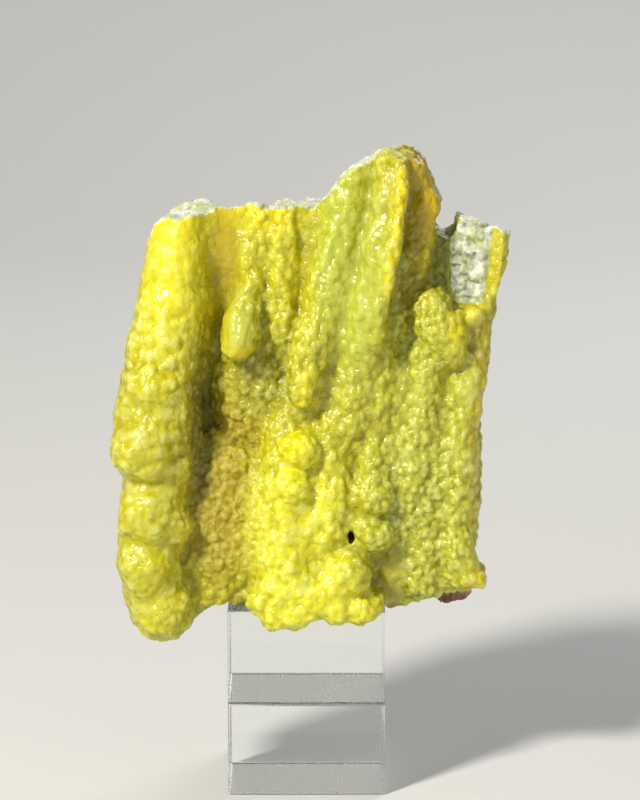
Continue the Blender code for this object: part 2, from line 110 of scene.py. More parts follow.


# %% [markdown]
# ## How the columns run
#
# On the real piece, mineral-rich water ran down a wall and left drips and columns, which then
# grew into each other. Each column here is a line of points from top to foot, chosen from
# the photograph: how far right, how high, how wide, and how far its front comes forward.
# A knob is a single such point. These values are the same as the CAD model's, so the two agree.

# %% The columns and knobs
COLUMNS = {
    "outer": [
        (-23.6, 80.0, 5.0, -15.0), (-24.0, 70.0, 5.8, -17.0), (-25.0, 60.0, 6.4, -18.5),
        (-26.4, 52.0, 6.6, -20.0), (-27.8, 44.0, 6.8, -21.0), (-28.8, 36.0, 7.2, -22.4),
        (-28.6, 27.0, 6.0, -20.6), (-29.0, 20.0, 6.4, -21.6), (-29.4, 13.5, 6.0, -20.8),
        (-29.0, 5.0, 5.8, -20.2), (-28.0, 1.0, 5.8, -19.4),
    ],
    "outer_flank": [
        (-19.5, 80.0, 4.2, -12.0), (-19.8, 68.0, 4.4, -12.5), (-21.0, 58.0, 4.6, -13.0),
        (-23.0, 48.0, 4.6, -14.0), (-24.2, 38.0, 4.2, -15.0), (-24.4, 26.0, 4.2, -15.5),
        (-25.4, 18.0, 3.6, -15.5),
    ],
    "hollow": [(-15.0, 80.0, 4.0, -11.5), (-15.0, 66.0, 4.0, -11.5), (-15.5, 58.0, 3.4, -10.0)],
    "drop_stem": [
        (-9.2, 79.0, 2.6, -12.0), (-9.4, 72.0, 2.6, -12.5), (-10.2, 65.0, 2.6, -13.5),
        (-11.2, 59.0, 2.8, -15.5), (-12.4, 55.5, 3.2, -18.0), (-12.6, 52.5, 3.3, -18.8),
    ],
    "short": [
        (-3.8, 80.0, 3.0, -12.5), (-4.2, 70.0, 2.8, -13.0), (-4.6, 62.0, 2.8, -13.5),
        (-5.0, 56.0, 3.0, -13.5), (-4.8, 51.5, 1.8, -12.5), (-4.6, 48.5, 1.5, -12.0),
    ],
    "short_flank": [(0.4, 79.0, 2.6, -10.5), (-0.4, 66.0, 2.2, -11.0), (-1.0, 57.0, 2.0, -11.0)],
    "main": [
        (10.4, 88.0, 3.4, -11.5), (8.4, 80.0, 3.8, -13.0), (6.4, 72.0, 4.2, -14.0),
        (4.6, 64.0, 4.2, -15.0), (3.0, 57.0, 4.0, -16.0), (0.8, 51.0, 3.8, -17.5),
        (-0.8, 46.0, 2.8, -18.5), (-1.2, 41.5, 1.9, -18.0),
    ],
    "main_flank": [
        (9.0, 74.0, 2.6, -12.5), (7.6, 66.0, 2.8, -13.5), (6.4, 58.0, 3.0, -14.5),
        (5.0, 51.0, 3.0, -15.0),
    ],
    "blade": [
        (17.8, 85.5, 1.3, -15.0), (17.2, 80.0, 1.4, -17.6), (16.6, 74.0, 1.5, -18.8),
        (15.2, 67.0, 1.6, -19.4), (13.8, 61.0, 1.8, -19.2), (12.4, 54.0, 2.2, -18.2),
    ],
    "blade_face": [
        (15.4, 86.0, 2.2, -13.6), (14.9, 80.0, 2.5, -15.4), (14.1, 74.0, 2.7, -16.6),
        (12.9, 67.0, 2.9, -17.4), (11.8, 60.5, 3.0, -17.4), (10.6, 54.0, 3.5, -17.2),
        (9.6, 47.0, 3.8, -16.4), (8.4, 40.0, 3.8, -16.0), (7.0, 33.0, 3.8, -16.0),
    ],
    "peak": [
        (19.6, 84.0, 2.8, -11.5), (20.8, 79.0, 3.5, -11.0), (20.8, 73.5, 3.0, -11.5),
        (20.8, 68.5, 2.7, -11.5), (20.0, 62.0, 2.2, -10.5), (19.2, 55.0, 2.2, -10.0),
        (18.2, 47.0, 2.4, -10.5), (17.0, 38.0, 2.2, -11.0),
    ],
    "mid_right": [
        (14.0, 52.0, 2.6, -13.5), (13.4, 44.0, 3.2, -14.5), (12.6, 36.0, 3.4, -15.0),
        (12.4, 28.0, 3.6, -15.5), (12.6, 22.0, 3.6, -17.0),
    ],
    "shoulder": [
        (23.6, 58.4, 3.6, -15.4), (24.8, 55.6, 4.8, -16.6), (26.2, 52.4, 4.4, -16.2),
        (26.8, 49.6, 3.6, -14.6),
    ],
    "right_inner": [
        (22.8, 49.0, 3.2, -13.8), (22.2, 40.0, 3.6, -14.0), (21.0, 31.0, 3.8, -14.2),
        (20.0, 26.0, 3.0, -14.6), (19.6, 23.5, 2.2, -14.0),
    ],
    "right_foot": [(22.8, 18.0, 2.6, -12.4), (22.2, 11.0, 3.0, -12.8), (21.8, 4.5, 3.2, -13.0)],
    "right_edge": [
        (35.2, 79.0, 4.2, -9.6), (34.0, 68.0, 4.0, -9.8), (31.8, 57.0, 3.6, -10.2),
        (30.0, 47.0, 4.2, -12.4), (29.0, 36.0, 4.0, -13.2), (28.8, 25.0, 3.3, -13.6),
        (28.6, 14.0, 2.8, -13.6), (29.2, 7.0, 3.4, -13.8), (30.4, 5.8, 2.6, -13.8),
    ],
    "belt": [
        (-10.8, 42.0, 3.4, -9.5), (-12.8, 34.0, 3.6, -10.0), (-15.6, 25.0, 3.6, -10.5),
        (-19.0, 16.0, 4.0, -13.0), (-22.0, 9.0, 4.0, -15.0), (-22.0, 4.0, 3.4, -14.0),
    ],
    "seam": [(-12.6, 20.0, 2.6, -13.0), (-13.0, 11.0, 2.6, -13.5), (-12.4, 5.0, 2.4, -13.0)],
    "centre": [
        (-2.4, 40.0, 3.8, -14.0), (-4.0, 34.0, 4.6, -15.0), (-4.0, 26.0, 5.4, -17.0),
        (-4.2, 18.0, 6.2, -18.5), (-3.6, 10.0, 6.4, -19.5), (-4.0, 4.5, 5.2, -20.0),
    ],
    "centre_right": [(4.6, 36.0, 4.0, -15.5), (4.6, 26.0, 4.4, -17.0), (4.2, 16.0, 4.2, -18.0)],
    "gully_floor": [(16.2, 14.0, 3.4, -12.5), (15.8, 6.0, 3.4, -12.0), (15.4, 2.5, 3.0, -11.0)],
}
KNOBS = [
    (-12.8, 52.2, 3.5, -19.0),
    (-30.6, 32.6, 6.1, -24.4),
    (-25.0, 29.5, 3.4, -20.5),
    (-28.2, 44.0, 6.2, -22.6),
    (-29.4, 20.2, 6.0, -23.6),
    (-30.2, 9.5, 5.6, -22.8),
    (-25.2, 17.5, 3.8, -21.0),
    (-27.2, 0.6, 6.2, -20.8),
    (-17.2, 32.0, 2.6, -11.5),
    (-13.0, 27.5, 3.4, -14.5),
    (-1.2, 32.2, 3.6, -19.8),
    (-2.4, 24.6, 3.6, -19.6),
    (-0.8, 44.5, 2.5, -19.0),
    (31.2, 56.6, 1.8, -12.6),
    (12.4, 22.4, 4.0, -17.6),
    (12.6, 14.8, 3.6, -17.6),
    (8.0, 7.6, 4.6, -20.4),
    (10.2, 0.6, 2.9, -19.8),
    (3.6, 4.2, 4.2, -20.0),
    (-6.2, -0.6, 2.8, -19.8),
    (-8.8, 2.0, 2.6, -18.6),
    (-2.6, 0.4, 3.2, -20.0),
    (1.2, 2.2, 3.4, -20.2),
    (5.8, 1.2, 3.2, -20.2),
    (12.2, 1.6, 2.8, -18.0),
    (22.2, 77.5, 3.2, -12.0),
    (20.9, 69.0, 2.8, -13.0),
    (17.6, 57.0, 1.6, -12.5),
    (32.2, 5.6, 1.8, -13.6),
    (33.3, 4.6, 1.1, -13.2),
]
print(len(COLUMNS), "columns and", len(KNOBS), "knobs")

# %% [markdown]
# ## The wall behind the columns
#
# The columns grow on a slab, whose outline is the specimen's own. Between them the slab swells in
# a few places, which keeps the valleys shallow, as they are on the real one. A rusty lump of the
# host rock sits under the right foot.

# %% The wall, the swellings and the rusty lump
WALL_FRONT = -7.0
WALL_BACK = 9.0
COLUMN_ROOT = -4.0
WALL_OUTLINE = [
    (-30.0, -1.5), (-33.0, 6.0), (-33.5, 20.0), (-33.5, 34.0), (-32.0, 45.0), (-30.0, 56.0),
    (-27.5, 66.0), (-26.5, 82.0), (-8.0, 82.0), (4.0, 82.0), (7.0, 89.0), (18.4, 90.0),
    (21.2, 85.6), (22.8, 80.0), (23.6, 75.0), (24.2, 71.5), (26.5, 70.0), (28.2, 71.0),
    (28.8, 76.0), (38.0, 76.0), (36.0, 61.0), (33.5, 52.0), (32.5, 40.0), (31.0, 28.0),
    (30.5, 16.0), (30.0, 8.0), (32.0, 3.0), (30.5, 1.0), (24.0, 0.0), (15.5, -1.5),
    (-12.0, -1.5), (-15.0, 0.0), (-19.0, -0.5), (-22.0, -2.5),
]
SWELLINGS = [
    ((18.0, -5.5, 27.0), (15.0, 8.4, 30.0)),
    ((24.0, -5.0, 26.0), (9.5, 7.6, 32.0)),
    ((10.0, -4.5, 62.0), (14.0, 8.4, 28.0)),
    ((14.0, -4.5, 78.0), (8.5, 7.2, 16.0)),
    ((-2.0, -8.0, 15.0), (13.5, 9.8, 19.0)),
    ((8.5, -7.0, 16.0), (7.0, 9.0, 15.0)),
    ((5.0, -5.5, 42.0), (10.0, 9.0, 18.0)),
    ((-10.0, -4.5, 46.0), (9.0, 8.5, 18.0)),
    ((-17.0, -6.0, 13.0), (12.0, 9.6, 22.0)),
    ((-9.0, -4.0, 70.0), (14.0, 7.5, 20.0)),
    ((-20.0, -4.5, 72.0), (7.5, 8.5, 18.0)),
]
RUST_LUMP = (28.6, 1.0, -0.2)
RUST_LUMP_RADII = (3.6, 3.2, 1.7)


def smooth_path(points, step):
    """Points about a step apart on a Catmull-Rom curve through the given ones."""
    ends = [points[0], *points, points[-1]]
    path = []
    for before, start, end, after in zip(ends, ends[1:], ends[2:], ends[3:]):
        a, b, c, d = (Vector(p) for p in (before, start, end, after))
        count = max(1, round(math.dist(start[:2], end[:2]) / step))
        for i in range(count):
            t = i / count
            path.append(
                0.5 * (2 * b + (c - a) * t + (2 * a - 5 * b + 4 * c - d) * t**2
                       + (3 * b - a - 3 * c + d) * t**3)
            )
    path.append(Vector(points[-1]))
    return path


def nose(x, z, radius, front):
    """The balls from a round nose at the front back to the wall."""
    depths = np.arange(front + radius, COLUMN_ROOT + radius, 0.8 * radius)
    return [((x, depth, z), (radius,) * 3) for depth in depths]


balls = [*SWELLINGS, (RUST_LUMP, RUST_LUMP_RADII)]
for points in COLUMNS.values():
    step = max(0.35 * min(point[2] for point in points), 1.0)
    for point in smooth_path(points, step):
        balls += nose(*point)
for knob in KNOBS:
    balls += nose(*knob)
print(len(balls), "balls stand for the growth")

# %% [markdown]
# ## Growing it together
#
# Thousands of overlapping balls are joined into one skin by a voxel remesh, which keeps only the
# outer surface. A few smoothing steps then fill the sharp grooves between the balls, the way
# fresh layers of mineral do. Blender's metaballs would join them too, but they swell where balls
# crowd, and the widths read off the photograph would be lost.

# %% Fuse the balls and the wall
GROWTH_VOXEL = 0.5
MELT_STEPS = 20


def ball_cloud():
    """All balls as one mesh, each a stretched copy of one icosphere."""
    pattern = bmesh.new()
    bmesh.ops.create_icosphere(pattern, subdivisions=3, radius=1.0)
    unit = np.array([vert.co for vert in pattern.verts])
    corners = np.array([[vert.index for vert in face.verts] for face in pattern.faces])
    pattern.free()
    centres = np.array([centre for centre, _ in balls])
    radii = np.array([radii for _, radii in balls])
    points = centres[:, None] + radii[:, None] * unit[None]
    faces = corners[None] + len(unit) * np.arange(len(balls))[:, None, None]
    mesh = bpy.data.meshes.new("balls")
    mesh.from_pydata(points.reshape(-1, 3), [], faces.reshape(-1, 3))
    return mesh


def wall_slab():
    """The wall's outline as a filled curve with half the thickness each way."""
    curve = bpy.data.curves.new("wall", "CURVE")
    curve.dimensions = "2D"
    curve.fill_mode = "BOTH"
    curve.extrude = (WALL_BACK - WALL_FRONT) / 2
    spline = curve.splines.new("POLY")
    spline.points.add(len(WALL_OUTLINE) - 1)
    for point, (x, z) in zip(spline.points, WALL_OUTLINE):
        point.co = (x, z, 0.0, 1.0)
    spline.use_cyclic_u = True
    guide = bpy.data.objects.new("wall", curve)
    mesh = bpy.data.meshes.new_from_object(guide)
    middle = (WALL_FRONT + WALL_BACK) / 2
    mesh.transform(Matrix.Translation((0, middle, 0)) @ Matrix.Rotation(math.radians(90), 4, "X"))
    bpy.data.objects.remove(guide)
    return mesh


def bake_modifiers(piece):
    """Turns what the modifiers make into the piece's own mesh."""
    graph = bpy.context.evaluated_depsgraph_get()
    mesh = bpy.data.meshes.new_from_object(piece.evaluated_get(graph))
    piece.modifiers.clear()
    piece.data = mesh


def fuse(piece, voxel):
    skin = piece.modifiers.new("fuse", "REMESH")
    skin.mode = "VOXEL"
    skin.voxel_size = voxel


growth = bmesh.new()
for source in (ball_cloud(), wall_slab()):
    growth.from_mesh(source)
mesh = bpy.data.meshes.new("smithsonite")
growth.to_mesh(mesh)
growth.free()
stone = bpy.data.objects.new("smithsonite_growth", mesh)
bpy.context.scene.collection.objects.link(stone)
fuse(stone, GROWTH_VOXEL)
melt = stone.modifiers.new("melt", "SMOOTH")
melt.factor = 0.5
melt.iterations = MELT_STEPS
bake_modifiers(stone)
print("fused skin:", len(stone.data.polygons), "faces")

# %% [markdown]
# ## Lobes
#
# Two sizes of soft lobe, 7 mm and 4 mm, break up the smooth columns. A Voronoi texture whose
# value is the square of the distance to the nearest point gives round lumps with creases between
# them, and the CAD model uses the same two, so the lobes sit in the same places.

# %% Lobes
LOBES = {"lobes": (7.0, 1.0), "lumps": (4.0, 0.55)}
RELIEF_MIDDLE = 0.4
for name, (size, relief) in LOBES.items():
    texture = bpy.data.textures.new(name, "VORONOI")
    texture.distance_metric = "DISTANCE_SQUARED"
    texture.noise_scale = size
    texture.noise_intensity = 1.0
    swell = stone.modifiers.new(name, "DISPLACE")
    swell.texture = texture
    swell.texture_coords = "LOCAL"
    swell.mid_level = RELIEF_MIDDLE
    swell.strength = -relief
    print(f"{name}: {size} mm wide, {relief} mm deep")
bake_modifiers(stone)

# %% [markdown]
# ## Where it broke
#
# The specimen was broken off its wall: the back, the top edge and a flat scar at the upper right
# are bare rock. A Boolean would cut it, but here each point beyond a break is simply moved back
# onto it, and the next remesh tidies what that folds over. It is quick, and the breaks stay
# where the CAD model has them. First come the breaks themselves, each as a function that says
# where it lies for any point.

# %% The break surfaces
TOP_BREAK = [
    (-45.0, 66.0, 62.0), (-30.5, 71.0, 66.0), (-28.2, 74.0, 69.0), (-26.2, 75.4, 71.2),
    (-25.2, 75.8, 74.2), (-23.0, 75.8, 75.8), (-21.0, 76.0, 77.0), (-18.6, 76.2, 76.4),
    (-16.6, 77.2, 73.6), (-14.0, 78.2, 71.0), (-12.2, 78.4, 71.0), (-10.6, 79.4, 71.0),
    (-8.4, 78.2, 71.4), (-6.8, 77.4, 73.0), (-6.0, 77.2, 75.2), (-2.8, 77.0, 75.8),
    (-2.2, 77.2, 75.2), (-1.2, 77.0, 75.9), (1.4, 77.6, 76.1), (3.6, 79.4, 75.6),
    (5.2, 80.8, 77.2), (6.6, 82.8, 80.2), (8.2, 84.2, 81.8), (10.6, 85.6, 83.2),
    (13.0, 87.2, 84.4), (15.4, 88.6, 84.8), (18.0, 89.8, 84.6), (20.0, 89.6, 84.0),
    (21.6, 88.4, 83.0), (23.2, 85.6, 80.0), (24.8, 81.0, 76.0), (26.4, 76.5, 73.6),
    (27.8, 75.4, 73.2), (29.2, 75.6, 72.8), (33.0, 74.4, 71.4), (38.6, 72.2, 69.4),
    (46.0, 70.0, 67.0),
]
TOP_FRONT = -14.0
TOP_BACK = 6.0
TOP_ROUGHNESS = 0.8
TOP_GRAIN = 0.4
TOP_STEP = 1.2
FOOT_BREAK = [
    (-26.0, -9.0), (-24.2, -4.4), (-22.0, -3.0), (-20.0, -0.6), (-17.0, 1.0), (-14.8, 1.4),
    (-12.5, -0.2), (-9.5, -1.3), (-8.2, -2.9), (-7.7, -9.0), (10.6, -9.0), (12.4, -3.4),
    (14.5, -1.5), (18.0, -0.7), (22.5, 0.6), (25.0, 1.1), (26.0, 2.2), (32.5, 2.3), (36.0, 4.2),
]
SCAR_LEFT = 27.2
SCAR_FOOT = 58.0
SCAR_DEPTH = -6.5
SCAR_TURN_DEGREES = -14.0
BACK_FACET = 6.0
BACK_DEPTH = 4.0
BACK_TIP = 2.6
BACK_SHIFT = 0.4
BACK_SWELL = 2.2
BACK_RUFFLE = 0.37
BACK_ROLL = 0.035
LUMP_MARGIN = 0.6
RAY_START = -60.0


def top_height(points):
    path = np.array(smooth_path(TOP_BREAK, TOP_STEP))
    front = np.interp(points[:, 0], path[:, 0], path[:, 1])
    back = np.interp(points[:, 0], path[:, 0], path[:, 2])
    share = (points[:, 1] - TOP_FRONT) / (TOP_BACK - TOP_FRONT)
    grain = points[:, :2] * TOP_GRAIN
    rough = np.array([noise.noise(Vector((x, y, 3.0))) for x, y in grain])
    return front + share * (back - front) + TOP_ROUGHNESS * rough


def foot_height(points):
    """The lower edge on both sides of the middle lobes, save where the rusty lump hangs."""
    x, z = np.array(FOOT_BREAK).T
    height = np.interp(points[:, 0], x, z)
    lump = (points[:, :2] - RUST_LUMP[:2]) / (np.array(RUST_LUMP_RADII[:2]) + LUMP_MARGIN)
    return np.where((lump**2).sum(1) < 1, z[0], height)


def back_noise(x, z, scale, layer):
    return noise.noise(Vector((x * scale, layer, z * scale)))


def back_sheet():
    """The break behind: a sheet of facets, each tipped its own way, with a slow swell in it."""
    corners = []
    rows, columns = range(-9, 10), range(-4, 18)
    for i in rows:
        for k in columns:
            x, z = i * BACK_FACET, k * BACK_FACET
            right, tip, up = (back_noise(x, z, BACK_RUFFLE, layer) for layer in (1.3, 8.6, 15.9))
            swell = BACK_SWELL * back_noise(x, z, BACK_ROLL, 8.0)
            depth = BACK_DEPTH + 2 * swell + 2 * BACK_TIP * tip
            shift = BACK_SHIFT * BACK_FACET
            corners.append((x + shift * right, depth, z + shift * up))
    n = len(columns)
    quads = [
        (i * n + k, (i + 1) * n + k, (i + 1) * n + k + 1, i * n + k + 1)
        for i in range(len(rows) - 1)
        for k in range(n - 1)
    ]
    return BVHTree.FromPolygons(corners, quads)


def back_depth(points):
    sheet = back_sheet()
    depths = np.full(len(points), WALL_BACK)
    for i, (x, _, z) in enumerate(points):
        hit = sheet.ray_cast((x, RAY_START, z), (0.0, 1.0, 0.0))[0]
        if hit:
            depths[i] = hit.y
    return depths


def scar_depth(points):
    slope = math.tan(math.radians(SCAR_TURN_DEGREES))
    return SCAR_DEPTH + (points[:, 0] - SCAR_LEFT) * slope


middle = np.array([(0.0, 0.0, 40.0)])
print("break behind the middle:", back_depth(middle).round(2), "top:", top_height(middle).round(2))

# %% [markdown]
# ## Moving the skin onto the breaks
#
# The underside is kept off the block as well, by the same 0.3 mm as in the CAD model, and a
# narrow pit is pushed in between two lobes at the front. A finer remesh then gives an even skin
# with room for the beads.

# %% Move what lies beyond a break back onto it
REST_GAP = 0.3
SEAT_REACH = 15.3
PIT = (8.4, 14.8)
PIT_SIZE = (1.1, 3.0)
PIT_END = -8.0
PIT_TAPER = 0.5
SKIN_VOXEL = 0.34


def read_points(piece):
    flat = np.empty(3 * len(piece.data.vertices), np.float32)
    piece.data.vertices.foreach_get("co", flat)
    return flat.reshape(-1, 3).astype(float)


def write_points(piece, points):
    piece.data.vertices.foreach_set("co", points.astype(np.float32).ravel())
    piece.data.update()


def in_scar(points):
    return (points[:, 0] > SCAR_LEFT) & (points[:, 2] > SCAR_FOOT)


def in_seat(points):
    return (np.abs(points[:, 0]) < SEAT_REACH) & (np.abs(points[:, 1]) < SEAT_REACH)


points = read_points(stone)
points[:, 2] = np.minimum(points[:, 2], top_height(points))
points[:, 2] = np.maximum(points[:, 2], foot_height(points))
points[:, 1] = np.minimum(points[:, 1], back_depth(points))
scar = in_scar(points)
points[scar, 1] = np.maximum(points[scar, 1], scar_depth(points)[scar])
seat = in_seat(points)
points[seat, 2] = np.maximum(points[seat, 2], REST_GAP)
across = np.abs(points[:, 0] - PIT[0]) / (PIT_SIZE[0] / 2)
along = np.abs(points[:, 2] - PIT[1]) / (PIT_SIZE[1] / 2)
pit = (across + PIT_TAPER * along < 1) & (along < 1)
points[pit, 1] = np.maximum(points[pit, 1], PIT_END)
write_points(stone, points)
fuse(stone, SKIN_VOXEL)
bake_modifiers(stone)
print("skin after the breaks:", len(stone.data.polygons), "faces")

# %% [markdown]
# ## Grown skin or broken rock
#
# Beads belong on the grown skin only, so each point is marked by how close it lies to a break:
# 1 on bare rock, falling to 0 over half a millimetre. The scar's right rim kept its yellow skin.

# %% Mark the breaks
FADE = 0.5
SCAR_FADE = 0.6
RIM_FOOT = 33.6
RIM_LEAN = 0.11


def near_break(points):
    """1 on a broken face, 0 on the grown skin, for the top, back, scar and seat."""
    x, y, z = points.T
    top = np.clip(1 - (top_height(points) - z) / FADE, 0, 1)
    back = np.clip(1 - (back_depth(points) - y) / FADE, 0, 1)
    off_scar = np.clip(1 - np.abs(y - scar_depth(points)) / SCAR_FADE, 0, 1)
    rim = np.clip((RIM_FOOT + RIM_LEAN * (z - SCAR_FOOT) - x) / SCAR_FADE, 0, 1)
    scar = np.where((x > SCAR_LEFT) & (z > SCAR_FOOT - FADE), off_scar, 0) * rim
    seat = np.where(in_seat(points), np.clip(1 - (z - REST_GAP) / FADE, 0, 1), 0)
    return top, back, scar, seat


points = read_points(stone)
top, back, scar, seat = near_break(points)
broken = np.maximum.reduce([top, back, scar, seat])
print(f"bare rock: {broken.mean():.0%} of all points, the back alone {back.mean():.0%}")

# %% [markdown]
# ## Beads
#
# The skin's beads are the tips of crystal sprays that grew outwards and met. Seeds are scattered
# over the skin about a bead apart, each one is a ball sunk in the skin, and a point is lifted to
# the highest ball near it. That leaves full domes with sharp creases, like the real beads. A
# bump in the shader alone would leave the outline smooth, and the real outline is beaded.

# %% Scatter seeds and raise beads
SEED_GAP = 0.62
BALL_REACH = (0.58, 0.80)
BALL_LIFT = (0.30, 0.46)
BALLS_NEAR = 4
WAX_BEADS = (2.5, (1.3, 1.3, 0.9))
GRAIN_BEADS = (1.9, (0.9, 0.9, 1.35))
GRIT_BEADS = (1.25, (1.0, 1.0, 1.0))
rng = np.random.default_rng(7)


def seed_tree(seeds):
    """The seeds in a tree that finds the nearest ones fast."""
    tree = KDTree(len(seeds))
    for i, seed in enumerate(seeds):
        tree.insert(seed, i)
    tree.balance()
    return tree


def scatter(points, spacing):
    """Seeds about a spacing apart: one point per cube, less those too close to another."""
    order = rng.permutation(len(points))
    cubes = np.floor(points[order] / spacing).astype(int)
    _, first = np.unique(cubes, axis=0, return_index=True)
    seeds = points[order[first]]
    tree = seed_tree(seeds)
    dropped = set()
    for i, seed in enumerate(seeds):
        if i not in dropped:
            near = tree.find_range(seed, SEED_GAP * spacing)
            dropped.update(j for _, j, _ in near if j != i)
    return seeds[[i for i in range(len(seeds)) if i not in dropped]]


def beads(points, spacing, stretch):
    """How high the beads stand at each point, from 0 in a crease to about 1 on a crown."""
    scaled = points / np.array(stretch)
    seeds = scatter(scaled, spacing)
    reach = spacing * rng.uniform(*BALL_REACH, len(seeds))
    lift = spacing * rng.uniform(*BALL_LIFT, len(seeds))
    tree = seed_tree(seeds)
    height = np.zeros(len(points))
    for i, point in enumerate(scaled):
        best = 0.0
        for _, j, distance in tree.find_n(point, BALLS_NEAR):
            inside = reach[j] ** 2 - distance**2
            if inside > 0:
                best = max(best, math.sqrt(inside) - reach[j] + lift[j])
        height[i] = best
    print(f"{len(seeds)} beads of {spacing} mm")
    return height / (BALL_LIFT[1] * spacing)


wax = beads(points, *WAX_BEADS)
grain = beads(points, *GRAIN_BEADS)
grit = beads(points, *GRIT_BEADS)

# %% [markdown]
# ## Three sizes, blended by place
#
# The left column and the middle lobes look waxy, with broad soft folds 2.5 mm wide. Most of the
# skin has upright grains 1.9 mm wide, and the parts that lie back have a 1.25 mm grit. The hollow
# at the upper left and the thin drips are almost smooth. Each zone is a few soft ellipses.

# %% Where each size of bead grows
WAX_ZONE = [
    ((-29, 38), (11, 64), 1.0), ((0, 12), (14, 24), 0.8), ((33, 30), (5, 52), 0.8),
    ((9, 70), (12, 26), 0.6),
]
GRIT_ZONE = [
    ((-16, 22), (10, 30), 1.0), ((22, 18), (12, 28), 1.0), ((19, 62), (8, 18), 0.7),
    ((-7, 50), (10, 14), 0.7),
]
SMOOTH_ZONE = [
    ((-15, 66), (4.5, 20), 1.0), ((16.6, 5), (3, 11), 1.0), ((-25, 72), (10, 18), 0.8),
    ((22.5, 79), (4, 11), 0.8), ((10, 68), (10, 26), 0.5), ((-30, 20), (8, 40), 0.4),
    ((-12.4, 54), (4, 7), 0.9),
]


def blob(points, centre, radii):
    """1 at the centre of an upright ellipse, falling smoothly to 0 at its edge."""
    offset = (points[:, [0, 2]] - np.array(centre)) / np.array(radii)
    t = np.clip(1 - (offset**2).sum(1), 0, 1)
    return t * t * (3 - 2 * t)


def zone(points, ellipses):
    """The ellipses' blobs, each times its strength, added up to at most 1."""
    total = sum(strength * blob(points, centre, radii) for centre, radii, strength in ellipses)
    return np.clip(total, 0, 1)


wax_zone = zone(points, WAX_ZONE)
grit_zone = zone(points, GRIT_ZONE)
smooth_zone = zone(points, SMOOTH_ZONE)
for name, share in (("wax", wax_zone), ("grit", grit_zone), ("smooth", smooth_zone)):
    print(f"{name} zone: {share.mean():.0%} of the skin")

# %% [markdown]
# ## The beads' height
#
# Every point moves along the skin's own direction, by the three sizes together, each with a
# height in millimetres. The middle of that range is taken off, so the columns keep their width.

# %% Raise the skin by the beads
WAX_RISE = 0.6
GRAIN_RISE = 0.52
GRAIN_LOST_IN_WAX = 0.24
GRIT_RISE = 0.14
GRIT_ADDED = 0.30
RISE_MIDDLE = 0.40
SMOOTHED = 0.7


def skin_normals(piece):
    flat = np.empty(3 * len(piece.data.vertices), np.float32)
    piece.data.vertex_normals.foreach_get("vector", flat)
    return flat.reshape(-1, 3).astype(float)


normals = skin_normals(stone)
height = WAX_RISE * wax_zone * wax
height += (GRAIN_RISE - GRAIN_LOST_IN_WAX * wax_zone) * grain
height += (GRIT_RISE + GRIT_ADDED * grit_zone) * grit
height = (height - RISE_MIDDLE) * (1 - SMOOTHED * smooth_zone) * (1 - broken)
points += normals * height[:, None]
write_points(stone, points)
print("beads from", height.min().round(2), "to", height.max().round(2), "mm")

# %% [markdown]
# ## Broken rock
#
# Where it broke, the inside shows: packed crystal grains with flat, glinting faces. Each grain
# here is a tipped plane around its own seed. Plain noise would be soft, with no face to glint.

# %% Broken rock
GRAINS = ((2.2, 0.35), (1.0, 0.3))
GRAIN_LOW = -0.7
GRAIN_HIGH = 0.35


def grains(points, spacing, tilt):
    """Height of a field of tipped flat grains, in mm."""
    seeds = scatter(points, spacing)
    slopes = rng.normal(0, tilt, (len(seeds), 3))
    tree = seed_tree(seeds)
    nearest = np.array([tree.find(point)[1] for point in points])
    return np.einsum("ij,ij->i", points - seeds[nearest], slopes[nearest])


rough = sum(grains(points, spacing, tilt) for spacing, tilt in GRAINS)
points += normals * (broken * np.clip(rough, GRAIN_LOW, GRAIN_HIGH))[:, None]
write_points(stone, points)
print("stone in mm:", points.min(0).round(2), points.max(0).round(2))

# %% [markdown]
# ## Colour by place
#
# Smithsonite is white when pure. This one is yellow from a little cadmium, and how yellow it
# looks depends on how thick it is and how light passes through it. Here the bright yellow on thin
# rims and knobs is painted glow, the golden and dark colours in valleys and recesses are painted
# shade, and the low left part has an ochre bloom of its own. Each zone is a soft ellipse with one
# colour. A painted picture could say more, but a table of soft zones stays easy to read and to
# change.

